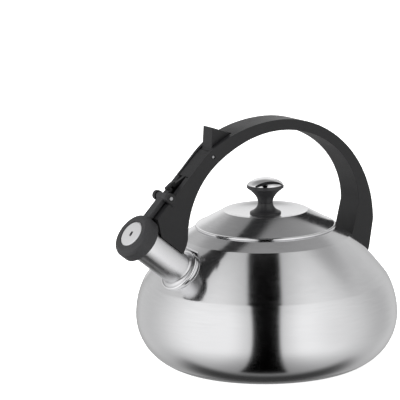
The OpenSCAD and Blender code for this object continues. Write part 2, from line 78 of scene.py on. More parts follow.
facing = math.radians(-35)
rise = math.radians(12)
back = Vector((math.sin(facing) * math.cos(rise), -math.cos(facing) * math.cos(rise), math.sin(rise)))
right = Vector((math.cos(facing), math.sin(facing), 0))
upward = back.cross(right)
aim = right * -0.0526 + upward * 0.1292
distance, frame_width, lean = 2.2, 0.326, math.radians(-0.85)
bpy.ops.object.camera_add(location=aim + back * distance)
camera = bpy.context.object
camera.name = "camera"
camera.rotation_euler = back.to_track_quat('Z', 'Y').to_euler()
camera.rotation_euler.rotate_axis('Z', lean)
camera.data.sensor_width = 36
camera.data.lens = camera.data.sensor_width * distance / frame_width
camera.data.clip_start = 0.1
camera.data.clip_end = 500
bpy.context.scene.camera = camera


def softbox(name, turn, height, away, width, tall, power):
    """A lamp that far round from the camera. It lights, but it doesn't show in the steel."""
    direction = Vector((math.sin(facing + turn), -math.cos(facing + turn), 0))
    place = direction * away + Vector((0, 0, height))
    bpy.ops.object.light_add(type='AREA', location=place)
    light = bpy.context.object
    light.name = name
    light.data.shape = 'RECTANGLE'
    light.data.size = width
    light.data.size_y = tall
    light.data.energy = power
    light.rotation_euler = (place - Vector((0, 0, 0.1))).to_track_quat('Z', 'Y').to_euler()
    light.visible_glossy = False


softbox("softbox_left", math.radians(-58), 0.75, 1.5, 0.9, 1.2, 22)
softbox("softbox_right", math.radians(58), 0.75, 1.5, 0.9, 1.2, 2)
softbox("softbox_top", math.radians(170), 1.5, 0.25, 0.5, 0.5, 12)

tent = bpy.data.worlds.new("tent")
bpy.context.scene.world = tent
tent.use_nodes = True
nodes, links = tent.node_tree.nodes, tent.node_tree.links
outward = nodes.new('ShaderNodeTexCoord').outputs["Generated"]


def share_along(direction):
    """How far the outward direction points along another one, from -1 to 1."""
    node = nodes.new('ShaderNodeVectorMath')
    node.operation = 'DOT_PRODUCT'
    links.new(outward, node.inputs[0])
    node.inputs[1].default_value = direction
    return node.outputs["Value"]


def fade(source, start, end, low=0.0, high=1.0):
    """Goes smoothly from low at `start` to high at `end`."""
    node = nodes.new('ShaderNodeMapRange')
    node.interpolation_type = 'SMOOTHSTEP'
    for socket, value in (("From Min", start), ("From Max", end), ("To Min", low), ("To Max", high)):
        node.inputs[socket].default_value = value
    links.new(source, node.inputs["Value"])
    return node.outputs["Result"]


def combine(operation, a, b):
    node = nodes.new('ShaderNodeMath')
    node.operation = operation
    for socket, value in zip(node.inputs, (a, b)):
        if isinstance(value, (int, float)):
            socket.default_value = value
        else:
            links.new(value, socket)
    return node.outputs[0]


# The tent dims towards the ground, the roof, the far side and the right, and under the kettle. A paler
# cloth hangs straight behind, and the opening is a slab of dark as wide at the roof as at the ground.
height = share_along((0, 0, 1))
forward = share_along((math.sin(facing), -math.cos(facing), 0))
across = share_along((math.cos(facing), math.sin(facing), 0))
around = fade(height, -1.0, -0.45, 0.52, 1.12)
underneath = combine('MULTIPLY', fade(height, -0.6, -0.92), fade(forward, 0.05, -0.3))
dark_roof = combine('MULTIPLY', fade(height, 0.45, 0.78), fade(forward, 0.08, -0.3))
opening_middle = -0.03
aside = combine('ABSOLUTE', combine('SUBTRACT', across, opening_middle), 0)
backdrop = combine('MULTIPLY', fade(aside, 0.34, 0.14), fade(forward, -0.7, -0.92))
backdrop = combine('MULTIPLY', backdrop, fade(height, -0.2, 0.0))
glow = around
for part in (fade(forward, 0.45, -0.6, 1.0, 0.6), fade(backdrop, 0.0, 1.0, 1.0, 2.0),
             fade(across, 0.55, 1.0, 1.0, 0.8),
             fade(height, 0.3, 1.0, 1.0, 0.82), fade(underneath, 0.0, 1.0, 1.0, 0.18),
             fade(dark_roof, 0.0, 1.0, 1.0, 0.66)):
    glow = combine('MULTIPLY', glow, part)
glow = combine('MULTIPLY', glow, fade(aside, 0.15, 0.55, 0.68, 1.0))
opening = combine('MULTIPLY', fade(aside, 0.225, 0.18), fade(forward, -0.1, 0.1))
tent_light = combine('MULTIPLY', glow, fade(opening, 0.0, 1.0, 1.0, 0.0))
links.new(tent_light, nodes["Background"].inputs["Color"])
nodes["Background"].inputs["Strength"].default_value = 1.0
bpy.context.scene.view_settings.view_transform = 'Standard'


# ---- Vessel: pressed from 0.8 mm stainless sheet, with a rolled-in neck ----
# One arc makes the bowl and another the belly, a soft crease leads to the flank, and a narrow shoulder
# carries the flat rim. It is brushed to a satin round its axis. The spout's bore opens into its side.
def arc(cx, cz, r, start, end, steps):
    angles = [math.radians(start + (end - start) * i / steps) for i in range(steps + 1)]
    return [(cx + r * math.cos(a), cz + r * math.sin(a)) for a in angles]


def soften(before, at, after, radius, steps=5):
    """Points of a round of that radius in the corner at `at`."""
    a, p, b = Vector(before), Vector(at), Vector(after)
    u, v = (a - p).normalized(), (b - p).normalized()
    half = u.angle(v) / 2
    reach = radius / math.tan(half)
    centre = p + (u + v).normalized() * radius / math.sin(half)
    s, e = p + u * reach - centre, p + v * reach - centre
    sweep_angle = s.angle_signed(e)
    first = math.atan2(s.y, s.x)
    return [(centre.x + radius * math.cos(first - sweep_angle * i / steps),
             centre.y + radius * math.sin(first - sweep_angle * i / steps)) for i in range(steps + 1)]


def rounded(points, closed=False):
    """Points with a third number get a round of that radius; the others stay sharp."""
    out = []
    for i, p in enumerate(points):
        inner = closed or 0 < i < len(points) - 1
        if len(p) == 3 and inner:
            out += soften(points[i - 1][:2], p[:2], points[(i + 1) % len(points)][:2], p[2])
        else:
            out.append(p[:2])
    return out


def draw_line(name, points):
    """A chain of edges through XZ points in millimetres, drawn from a single vertex."""
    select_only(None)
    bpy.ops.mesh.primitive_plane_add(size=0.001, location=(0, 0, 0))
    thing = bpy.context.object
    thing.name = thing.data.name = name
    bpy.ops.object.mode_set(mode='EDIT')
    bpy.ops.mesh.select_all(action='SELECT')
    bpy.ops.mesh.merge(type='CENTER')
    bpy.ops.transform.translate(value=(points[0][0] * mm, 0, points[0][1] * mm))
    for (x0, z0), (x1, z1) in zip(points, points[1:]):
        bpy.ops.mesh.extrude_vertices_move(
            TRANSFORM_OT_translate={"value": ((x1 - x0) * mm, 0, (z1 - z0) * mm)})
    return thing


def tidy(thing, angle=32):
    """Merges doubles, turns the faces outwards and smooths all but the sharp edges."""
    select_only(thing)
    bpy.ops.object.mode_set(mode='EDIT')
    bpy.ops.mesh.select_all(action='SELECT')
    bpy.ops.mesh.remove_doubles(threshold=2e-6)
    bpy.ops.mesh.normals_make_consistent(inside=False)
    bpy.ops.object.mode_set(mode='OBJECT')
    bpy.ops.object.shade_smooth_by_angle(angle=math.radians(angle))
    return thing


def turn_up(name, points, steps=128):
    """A closed outline, as radius and height, spun once round Z."""
    thing = draw_line(name, list(points) + [points[0]])
    bpy.ops.mesh.select_all(action='SELECT')
    bpy.ops.mesh.spin(steps=steps, angle=math.tau, center=(0, 0, 0), axis=(0, 0, 1), use_auto_merge=True)
    return tidy(thing)


def cut(thing, tool, operation='DIFFERENCE', keep=False):
    select_only(thing)
    bpy.ops.object.modifier_add(type='BOOLEAN')
    boolean = thing.modifiers[-1]
    boolean.operation = operation
    boolean.solver = 'EXACT'
    boolean.object = tool
    bpy.ops.object.modifier_apply(modifier=boolean.name)
    if not keep:
        bpy.data.objects.remove(tool)
    return thing


def set_in(thing, turn, place):
    """Turns a piece about Y and moves it, with the place going into its mesh."""
    select_only(thing)
    thing.rotation_euler = (0, math.radians(turn), 0)
    thing.location = (place[0] * mm, 0, place[1] * mm)
    bpy.ops.object.transform_apply(location=True, rotation=True, scale=True)
    return thing


def finished(thing, material, body, slot, *replaced):
    thing.data.materials.clear()
    thing.data.materials.append(material)
    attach(thing, body)
    if replaced:
        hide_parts(*replaced)
    return thing


body_r, belly_z, foot_r, base_h, sheet = 106, 38.7, 79.6, 5, 0.8
crease, rim_r, rim_z, mouth_r = (98.6, 68.3), 56.6, 110, 52.6
shoulder = (67.3, 102.9)
bowl_r = ((body_r - foot_r) ** 2 + belly_z ** 2) / (2 * (body_r - foot_r))
belly_r = ((body_r - crease[0]) ** 2 + (crease[1] - belly_z) ** 2) / (2 * (body_r - crease[0]))
flank_run = math.dist(crease, shoulder)
flank_r = ((flank_run / 2) ** 2 + 1.2 ** 2) / (2 * 1.2)
flank_normal = ((crease[1] - shoulder[1]) / -flank_run, (crease[0] - shoulder[0]) / flank_run)
flank_c = ((crease[0] + shoulder[0]) / 2 - flank_normal[0] * (flank_r - 1.2),
           (crease[1] + shoulder[1]) / 2 - flank_normal[1] * (flank_r - 1.2))


def bowl_angle(z, inset=0):
    return -math.degrees(math.asin((belly_z - z) / (bowl_r - inset)))


def angle_at(centre, point):
    return math.degrees(math.atan2(point[1] - centre[1], point[0] - centre[0]))


def wall_line(inset, foot_z):
    """The vessel's outline from the foot to the shoulder, with a soft crease and shoulder corner."""
    bowl = arc(body_r - bowl_r, belly_z, bowl_r - inset, bowl_angle(foot_z, inset), 0, 34)
    belly = arc(body_r - belly_r, belly_z, belly_r - inset, 0,
                angle_at((body_r - belly_r, belly_z), crease) * 0.9, 14)[1:]
    first, last = angle_at(flank_c, crease), angle_at(flank_c, shoulder)
    flank = arc(flank_c[0], flank_c[1], flank_r - inset, first + (last - first) * 0.09,
                first + (last - first) * 0.92, 16)
    k = inset * 1.05
    return (bowl + belly[:-1] + soften(belly[-2], (crease[0] - k * 0.9, crease[1] - k * 0.42), flank[1], 9, 6)
            + flank[1:-1] + soften(flank[-2], (shoulder[0] - k * 0.55, shoulder[1] - k * 0.84),
                                   (rim_r, rim_z - inset), 3, 5))


neck_end = rim_z - 8.5
vessel_outline = ([(0, base_h)] + wall_line(0, base_h)
                  + rounded([shoulder, (rim_r, rim_z, 1.2), (mouth_r, rim_z, 0.7), (mouth_r, neck_end, 0.3),
                             (mouth_r + sheet, neck_end, 0.3), (mouth_r + sheet, rim_z - sheet),
                             (rim_r - 0.3, rim_z - sheet), (60, 106)])[1:-1]
                  + wall_line(sheet, base_h + sheet)[::-1] + [(0, base_h + sheet)])
vessel = turn_up("vessel_shell", vessel_outline, 192)

spout_tilt, spout_r, spout_len, flare = 38.8, 13.3, 49.6, 2.9
spout_foot = (-85.3, 85.875)
bore = turn_up("bore", [(0, -30), (spout_r - 0.8, -30), (spout_r - 0.8, 20), (0, 20)], 96)
cut(vessel, set_in(bore, spout_tilt - 90, spout_foot))
tidy(vessel)


def round_brushing():
    """Fine scratches that run round the Z axis of the vector, as a value and a normal."""
    group = bpy.data.node_groups.new("round brushing", 'ShaderNodeTree')
    for name, kind, value in (("Position", 'NodeSocketVector', None), ("Fineness", 'NodeSocketFloat', 900),
                              ("Length", 'NodeSocketFloat', 6), ("Depth", 'NodeSocketFloat', 0.1)):
        socket = group.interface.new_socket(name, in_out='INPUT', socket_type=kind)
        if value is not None:
            socket.default_value = value
    group.interface.new_socket("Streaks", in_out='OUTPUT', socket_type='NodeSocketFloat')
    group.interface.new_socket("Normal", in_out='OUTPUT', socket_type='NodeSocketVector')
    nodes, links = group.nodes, group.links
    inside, outside = nodes.new('NodeGroupInput'), nodes.new('NodeGroupOutput')
    split = nodes.new('ShaderNodeSeparateXYZ')
    links.new(inside.outputs["Position"], split.inputs[0])
    flat = nodes.new('ShaderNodeCombineXYZ')
    links.new(split.outputs[0], flat.inputs[0])
    links.new(split.outputs[1], flat.inputs[1])
    length = nodes.new('ShaderNodeVectorMath')
    length.operation = 'LENGTH'
    links.new(flat.outputs[0], length.inputs[0])
    around = nodes.new('ShaderNodeVectorMath')
    around.operation = 'NORMALIZE'
    links.new(flat.outputs[0], around.inputs[0])
    longer = nodes.new('ShaderNodeVectorMath')
    longer.operation = 'SCALE'
    links.new(around.outputs[0], longer.inputs[0])
    links.new(inside.outputs["Length"], longer.inputs["Scale"])
    across = nodes.new('ShaderNodeMath')
    across.operation = 'ADD'
    links.new(split.outputs[2], across.inputs[0])
    links.new(length.outputs["Value"], across.inputs[1])
    fine = nodes.new('ShaderNodeMath')
    fine.operation = 'MULTIPLY'
    links.new(across.outputs[0], fine.inputs[0])
    links.new(inside.outputs["Fineness"], fine.inputs[1])
    lift = nodes.new('ShaderNodeCombineXYZ')
    links.new(fine.outputs[0], lift.inputs[2])
    place = nodes.new('ShaderNodeVectorMath')
    place.operation = 'ADD'
    links.new(longer.outputs[0], place.inputs[0])
    links.new(lift.outputs[0], place.inputs[1])
    noise = nodes.new('ShaderNodeTexNoise')
    noise.inputs["Scale"].default_value = 1
    noise.inputs["Detail"].default_value = 4
    noise.inputs["Roughness"].default_value = 0.65
    links.new(place.outputs[0], noise.inputs["Vector"])
    links.new(noise.outputs["Fac"], outside.inputs["Streaks"])
    bump = nodes.new('ShaderNodeBump')
    bump.inputs["Distance"].default_value = 0.0001
    links.new(inside.outputs["Depth"], bump.inputs["Strength"])
    links.new(noise.outputs["Fac"], bump.inputs["Height"])
    links.new(bump.outputs["Normal"], outside.inputs["Normal"])
    return group


brushing = round_brushing()


def vary(nodes, links, source, low, high, target):
    """Stretches a 0 to 1 value between two colours or two numbers and feeds it to a socket."""
    ramp = nodes.new('ShaderNodeMix' if isinstance(low, tuple) else 'ShaderNodeMapRange')
    if isinstance(low, tuple):
        ramp.data_type = 'RGBA'
        links.new(source, ramp.inputs["Factor"])
        ramp.inputs["A"].default_value = (*low, 1)
        ramp.inputs["B"].default_value = (*high, 1)
        links.new([o for o in ramp.outputs if o.type == 'RGBA'][0], target)
    else:
        ramp.inputs["From Min"].default_value = 0.25
        ramp.inputs["From Max"].default_value = 0.75
        ramp.inputs["To Min"].default_value = low
        ramp.inputs["To Max"].default_value = high
        links.new(source, ramp.inputs["Value"])
        links.new(ramp.outputs["Result"], target)


def steel(name, dark, light, rough, fineness, depth, length=6, streaky=0.08, turn=None, place=(0, 0),
          anisotropic=0.0):
    """Stainless steel brushed round Z, or round the spout's axis if a turn is given."""
    material, nodes, links, shader = new_material(name)
    where = nodes.new('ShaderNodeTexCoord')
    position = where.outputs["Object"]
    if turn is not None:
        mapping = nodes.new('ShaderNodeMapping')
        mapping.vector_type = 'TEXTURE'
        mapping.inputs["Location"].default_value = (place[0] * mm, 0, place[1] * mm)
        mapping.inputs["Rotation"].default_value = (0, math.radians(turn), 0)
        links.new(position, mapping.inputs["Vector"])
        position = mapping.outputs["Vector"]
    grain = nodes.new('ShaderNodeGroup')
    grain.node_tree = brushing
    grain.inputs["Fineness"].default_value = fineness
    grain.inputs["Length"].default_value = length
    grain.inputs["Depth"].default_value = depth
    links.new(position, grain.inputs["Position"])
    vary(nodes, links, grain.outputs["Streaks"], dark, light, shader.inputs["Base Color"])
    vary(nodes, links, grain.outputs["Streaks"], rough - streaky / 2, rough + streaky / 2,
         shader.inputs["Roughness"])
    links.new(grain.outputs["Normal"], shader.inputs["Normal"])
    shader.inputs["Metallic"].default_value = 1
    shader.inputs["Anisotropic"].default_value = anisotropic
    shader.inputs["Anisotropic Rotation"].default_value = 0.25
    return material


satin_steel = steel("satin steel of the vessel", (0.68, 0.68, 0.69), (0.78, 0.78, 0.79), 0.145, 1500, 0.15,
                    length=5, streaky=0.07, anisotropic=0.6)
finished(vessel, satin_steel, "kettle", "brushed_body", "vessel")


# ---- Sandwich base: an aluminium core under a pressed steel cap ----
# The cap's edge follows the bowl with a fine dark joint above it, and its underside is turned.
joint_groove = 0.25
base_outline = ([(0, 0)] + rounded([(0, 0), (foot_r - 0.9, 0, 0.8)]
                + arc(body_r - bowl_r, belly_z, bowl_r,
                      bowl_angle(0.5), bowl_angle(base_h - joint_groove), 5))[1:]
                + [(78, base_h - 0.02), (0, base_h - 0.02)])
base_cap = turn_up("base_disc", base_outline, 160)
turned_steel = steel("turned steel of the base", (0.5, 0.5, 0.51), (0.66, 0.66, 0.67), 0.3, 1100, 0.5)
finished(base_cap, turned_steel, "kettle", "base_steel", "base_cap", "base_core")

# ---- Spout: a drawn steel tube that flares out at its foot, with a beaded collar round it ----
# The tube is welded to the flank and polished. The collar is a narrow band whose rim is rolled to a bead.
def along_spout(along, up):
    tilt = math.radians(spout_tilt)
    return (spout_foot[0] - along * math.cos(tilt) + up * math.sin(tilt),
            spout_foot[1] + along * math.sin(tilt) + up * math.cos(tilt))


def body_plug(gap):
    """The whole vessel as a solid, grown by a gap, for trimming what stands on it."""
    return turn_up("plug", [(0, 2)] + wall_line(-gap, base_h) + [(rim_r, rim_z + gap), (0, rim_z + gap)], 192)


tube = turn_up("spout_pipe", rounded([(12.5, -7), (16.2, -7), (16.2, 1)])
               + arc(spout_r + flare, 1 + flare, flare, 270, 180, 12)[1:]
               + rounded([(spout_r, 30), (spout_r, spout_len, 0.35), (12.5, spout_len, 0.3), (12.5, 30)]), 96)
tube = cut(set_in(tube, spout_tilt - 90, spout_foot), body_plug(0))
tidy(tube)
spout_steel = steel("satin steel of the spout", (0.72, 0.72, 0.73), (0.84, 0.84, 0.85), 0.3, 1300, 0.2,
                    turn=spout_tilt - 90, place=spout_foot)
finished(tube, spout_steel, "kettle", "polished_steel", "spout_tube")

collar = turn_up("spout_ring", [(16, -8), (17.8, -8)] + arc(16.9, 0.5, 1.15, -38, 165, 18), 96)
collar = cut(set_in(collar, spout_tilt - 90, spout_foot), body_plug(0))
tidy(collar)
bead_steel = steel("polished steel of the collar", (0.8, 0.8, 0.81), (0.9, 0.9, 0.91), 0.16, 1300, 0.06,
                   turn=spout_tilt - 90, place=spout_foot)
finished(collar, bead_steel, "kettle", "polished_steel", "spout_collar")


# ---- Front strap: a bent steel tongue from the flank up into the handle's front leg ----
# It is blanked from 1.6 mm sheet, bent once, and welded to the flank above the spout's collar.
def plate(name, outline, width, edge=0.0, segments=3, middle=0.0):
    """A closed XZ outline filled and extruded along Y, with its edges rounded."""
    thing = draw_line(name, list(outline) + [outline[0]])
    bpy.ops.mesh.select_all(action='SELECT')
    bpy.ops.mesh.remove_doubles(threshold=2e-6)
    bpy.ops.mesh.edge_face_add()
    bpy.ops.transform.translate(value=(0, (middle - width / 2) * mm, 0))
    bpy.ops.mesh.extrude_region_move(TRANSFORM_OT_translate={"value": (0, width * mm, 0)})
    tidy(thing)
    return ease(thing, edge, segments) if edge else thing


def ease(thing, edge, segments=3, limit=38):
    """Rounds the sharp edges of a finished shape."""
    select_only(thing)
    bpy.ops.object.modifier_add(type='BEVEL')
    bevel = thing.modifiers[-1]
    bevel.width = edge * mm
    bevel.segments = segments
    bevel.limit_method = 'ANGLE'
    bevel.angle_limit = math.radians(limit)
    bpy.ops.object.modifier_apply(modifier=bevel.name)
    return tidy(thing)


def even_shading(thing):
    """Lets the large flat faces decide the shading next to their rounded edges."""
    select_only(thing)
    bpy.ops.object.modifier_add(type='WEIGHTED_NORMAL')
    weighting = thing.modifiers[-1]
    weighting.keep_sharp = True
    bpy.ops.object.modifier_apply(modifier=weighting.name)
    return thing


def band(path, thick):
    """The outline of a strip that thick along a path, mitred at its bends."""
    legs = [(Vector(b) - Vector(a)).normalized() for a, b in zip(path, path[1:])]
    sums = [legs[max(i - 1, 0)] + legs[min(i, len(legs) - 1)] for i in range(len(path))]
    sides = [Vector((-s.y, s.x)) * thick / s.dot(s) for s in sums]
    return ([tuple(Vector(p) + s) for p, s in zip(path, sides)]
            + [tuple(Vector(p) - s) for p, s in zip(path, sides)][::-1])


knee = (-84.64, 106.5)
strap_foot = along_spout(-8, 20.2)
strap_path = rounded([strap_foot, (*knee, 2.6), (knee[0] - 2.8, knee[1] + 13.5)])
strap = cut(plate("front_strap", band(strap_path, 1.6), 12, 0.3), body_plug(0))
even_shading(tidy(strap))
finished(strap, spout_steel, "kettle", "polished_steel", "front_bracket")


# ---- Handle: one moulding of matt black phenolic plastic ----
# An arched strap, 24 mm wide, narrows to a front leg that stands astride the spout and carries the
# trigger in a channel. Two round ears hold the cap's hinge. Of its two screws, only the front one's well
# is open.
handle_top, rear_x, grip_w, leg_w = 198, 101.5, 24, 18
leg_slope = math.radians(43.489)
leg_corner = (-110.94, 132.025)
apex_x, inner_front_x = 3.93, -82.44


def along_leg(along, out):
    return (leg_corner[0] + along * math.cos(leg_slope) - out * math.sin(leg_slope),
            leg_corner[1] + along * math.sin(leg_slope) + out * math.cos(leg_slope))


def quarter(cx, cz, sx, sz, start, steps):
    angles = [math.radians(start - 90 * i / steps) for i in range(steps + 1)]
    return [(cx + sx * math.cos(a), cz + sz * math.sin(a)) for a in angles]


def bend(a, b, c, d, steps):
    out = []
    for i in range(steps + 1):
        t, u = i / steps, 1 - i / steps
        out.append(tuple(u ** 3 * a[k] + 3 * u * u * t * b[k] + 3 * u * t * t * c[k] + t ** 3 * d[k]
                         for k in (0, 1)))
    return out


curve_start = along_leg(62, 0)
crown = apex_x - curve_start[0]
handle_outline = (
    [along_spout(10, 6), along_spout(36.9, 6), along_spout(36.9, 10.6), leg_corner,
     along_leg(22, 0), along_leg(42, 0)]
    + bend(curve_start, (curve_start[0] + 0.34 * crown * math.cos(leg_slope),
                         curve_start[1] + 0.34 * crown * math.sin(leg_slope)),
           (apex_x - 0.37 * crown, handle_top), (apex_x, handle_top), 22)
    + quarter(apex_x, 104, rear_x - apex_x, handle_top - 104, 90, 40)[1:]
    + [(97.5, 82), (94, 70), (76.5, 86), (81, 100)]
    + quarter(apex_x, 120, rear_x - 15.2 - apex_x, 69.2, 90, 34)[::-1]
    + quarter(apex_x, 112, apex_x - inner_front_x, 77.2, 180, 34)[::-1][1:]
    + [(inner_front_x - 1.5, 107)])
# The quarter from 180 degrees runs down to 90, which is reversed here to end at the front leg.
handle = plate("handle_arch", handle_outline, grip_w)
select_only(handle)
bpy.ops.object.mode_set(mode='EDIT')
taper_x, taper_run = -70.44, 38
for x in [taper_x + taper_run * i / 10 for i in range(11)] + [-48, -16, 16, 40, 60, 78]:
    bpy.ops.mesh.select_all(action='SELECT')
    bpy.ops.mesh.bisect(plane_co=(x * mm, 0, 0), plane_no=(1, 0, 0))
edit = bmesh.from_edit_mesh(handle.data)
for v in edit.verts:
    t = min(1, max(0, (v.co.x / mm - taper_x) / taper_run))
    half = leg_w / 2 + (grip_w - leg_w) / 2 * t * t * (3 - 2 * t)
    v.co.y *= half / (grip_w / 2)
bmesh.update_edit_mesh(handle.data)
bpy.ops.object.mode_set(mode='OBJECT')
ease(handle, 1.3, 4)


def rod(name, place, radius, y0, y1, steps=48, edge=0.0):
    """A round bar along Y through an XZ point."""
    profile = [(0, y0)] + rounded([(0, y0), (radius, y0, edge), (radius, y1, edge), (0, y1)] if edge
                                  else [(0, y0), (radius, y0), (radius, y1), (0, y1)])[1:-1] + [(0, y1)]
    thing = turn_up(name, profile, steps)
    select_only(thing)
    thing.rotation_euler = (math.radians(-90), 0, 0)
    thing.location = (place[0] * mm, 0, place[1] * mm)
    bpy.ops.object.transform_apply(location=True, rotation=True, scale=True)
    return thing


trigger_hinge, cap_hinge = (-57.3203, 175.033), (-98.9375, 147.27)
cut(handle, rod("ears", cap_hinge, 4, -10.5, 10.5, 64, 0.5), 'UNION')
cut(handle, plate("webs", [along_leg(16, -4), along_leg(22.4, -4), along_leg(22.4, 2.8), along_leg(16, 2.8)],
                  20.4), 'UNION')
cut(handle, body_plug(0.5))
saddle_r = spout_r + 0.5
saddle = turn_up("saddle", [(0, -6), (18.5, -6), (18.5, 2.8), (saddle_r, 2.8), (saddle_r, 45.5), (19, 45.5),
                            (19, 150), (0, 150)], 96)
cut(handle, set_in(saddle, spout_tilt - 90, spout_foot))
for name, width, outline in (
        ("arm_channel", 13.6, ((42, 12), (42, -8.6), (61, -9.6), (63.4, -10.8), (73.6, -10.8), (77, -8.6),
                               (94, -12.5), (96, 12))),
        ("rib_channel", 8.2, ((22, 12), (22, -6.7), (30, -7), (43, -8.7), (43, 12))),
        ("knuckle_channel", 13.6, ((14.5, 12), (14.5, -1.2), (17, -6.6), (23, -6.8), (23, 12)))):
    cut(handle, plate(name, [along_leg(*p) for p in outline], width))
cut(handle, rod("hinge_room", cap_hinge, 5, -6.8, 6.8))
cut(handle, rod("trigger_pin_hole", trigger_hinge, 1.6, -14, 14))
cut(handle, rod("cap_pin_hole", cap_hinge, 1.25, -14, 14))
well_r = 3.9
well = turn_up("screw_well", [(0, 0), (well_r, 0), (well_r, 40), (0, 40)], 48)
cut(handle, set_in(well, 90, (-84.44, 114.5)))
tidy(handle)
even_shading(handle)


def fine_grain():
    """A moulded surface's fine grain and the faint mottling of handling, as masks and a normal."""
    group = bpy.data.node_groups.new("moulded grain", 'ShaderNodeTree')
    for name, kind, value in (("Position", 'NodeSocketVector', None), ("Size", 'NodeSocketFloat', 1800),
                              ("Depth", 'NodeSocketFloat', 0.2)):
        socket = group.interface.new_socket(name, in_out='INPUT', socket_type=kind)
        if value is not None:
            socket.default_value = value
    group.interface.new_socket("Grain", in_out='OUTPUT', socket_type='NodeSocketFloat')
    group.interface.new_socket("Mottle", in_out='OUTPUT', socket_type='NodeSocketFloat')
    group.interface.new_socket("Normal", in_out='OUTPUT', socket_type='NodeSocketVector')
    nodes, links = group.nodes, group.links
    inside, outside = nodes.new('NodeGroupInput'), nodes.new('NodeGroupOutput')
    grain = nodes.new('ShaderNodeTexNoise')
    grain.inputs["Detail"].default_value = 3
    grain.inputs["Roughness"].default_value = 0.6
    links.new(inside.outputs["Position"], grain.inputs["Vector"])
    links.new(inside.outputs["Size"], grain.inputs["Scale"])
    mottle = nodes.new('ShaderNodeTexNoise')
    mottle.inputs["Scale"].default_value = 55
    mottle.inputs["Detail"].default_value = 5
    links.new(inside.outputs["Position"], mottle.inputs["Vector"])
    bump = nodes.new('ShaderNodeBump')
    bump.inputs["Distance"].default_value = 0.0002
    links.new(inside.outputs["Depth"], bump.inputs["Strength"])
    links.new(grain.outputs["Fac"], bump.inputs["Height"])
    links.new(grain.outputs["Fac"], outside.inputs["Grain"])
    links.new(mottle.outputs["Fac"], outside.inputs["Mottle"])
    links.new(bump.outputs["Normal"], outside.inputs["Normal"])
    return group


moulding = fine_grain()


def plastic(name, dark, light, rough, size, depth, spread=0.12, gloss=0.4):
    """Moulded plastic between two colours, with a grain of that size and depth."""
    material, nodes, links, shader = new_material(name)
    where = nodes.new('ShaderNodeTexCoord')
    grain = nodes.new('ShaderNodeGroup')
    grain.node_tree = moulding
    grain.inputs["Size"].default_value = size
    grain.inputs["Depth"].default_value = depth
    links.new(where.outputs["Object"], grain.inputs["Position"])
    vary(nodes, links, grain.outputs["Grain"], dark, light, shader.inputs["Base Color"])
    vary(nodes, links, grain.outputs["Mottle"], rough - spread / 2, rough + spread / 2,
         shader.inputs["Roughness"])
    links.new(grain.outputs["Normal"], shader.inputs["Normal"])
    shader.inputs["Specular IOR Level"].default_value = gloss
    return material


handle_plastic = plastic("matt black plastic of the handle", (0.005, 0.005, 0.0055), (0.014, 0.014, 0.015),
                         0.42, 1900, 0.4, gloss=0.32)
finished(handle, handle_plastic, "kettle", "handle_plastic", "handle")


# ---- Trigger: thumb piece, arm and rib in one moulding, on a pin across the front leg ----
# The wide arm fills the channel, and a narrow rib runs on down to press the cap lever's tail.
def on_link(along, out):
    """A place along the line from the cap's hinge to the trigger's, and out to its side."""
    d = Vector(trigger_hinge) - Vector(cap_hinge)
    d.normalize()
    return (cap_hinge[0] + along * d.x - out * d.y, cap_hinge[1] + along * d.y + out * d.x)


tail_x, tail_z = 7.954, 0.836
rib_foot = tail_z + 1.5
half_width, rib_width, hub_r, pin_hole_r = 6.5, 3.2, 4.6, 1.3
trigger = rod("trigger_rocker", trigger_hinge, hub_r, -half_width, half_width, 64)
arm = plate("arm", [along_leg(*p) for p in ((43, -0.4), (43, -3.6), (66, -8), (71, -4), (66, -0.8))],
            2 * half_width)
thumb = plate("thumb", [(trigger_hinge[0] + x, trigger_hinge[1] + z) for x, z in (
    (-3, 2), (0.4, 6), (1.7, 23), (18.5, 16.6), (17, 13.2), (8, 5.5), (4.5, 0))], 2 * half_width, 0.7, 3)
rib = plate("rib", [along_leg(*p) for p in (
    (44, -0.8), (44, -3.4), (33, 0.4), (30, 1.2), (30, 3.4), (33, 2.6))], rib_width)
toe = plate("toe", [on_link(*p) for p in ((5, rib_foot), (5, rib_foot + 1.6), (5.6, rib_foot + 2.2),
                                          (11.5, rib_foot + 2.2), (14.5, rib_foot + 1.4),
                                          (13.5, rib_foot - 1.2), (11, rib_foot))], rib_width)
for piece in (arm, thumb, rib, toe):
    cut(trigger, piece, 'UNION')
cut(trigger, rod("pin_hole", trigger_hinge, pin_hole_r, -9, 9))
tidy(trigger)
even_shading(trigger)
finished(trigger, handle_plastic, "trigger", "handle_plastic", "trigger")


# ---- Hinge pins: drawn steel, domed at both ends ----
# The trigger's pin sits a little below the leg's sides, and the cap's pin is riveted over the ears.
pin_steel = steel("dull steel of pins and screws", (0.34, 0.34, 0.35), (0.46, 0.46, 0.47), 0.32, 900, 0.1)


def pin(name, place, reach, head, node):
    """A pin through a place, that far to each side, with rivet heads if head gives them a radius."""
    thing = rod(name, place, 1.25, -reach, reach, 32, 0.4)
    if head:
        for side in (-1, 1):
            low, high = sorted((side * (reach - 0.35), side * (reach + 0.35)))
            cut(thing, rod("rivet_head", place, head, low, high, 32, 0.3), 'UNION')
    tidy(thing)
    return finished(thing, pin_steel, "kettle", "screw_steel", node)


pin("trigger_axle", trigger_hinge, 9.5, 0, "trigger_pin")
pin("cap_axle", cap_hinge, 10.6, 1.5, "cap_pin")


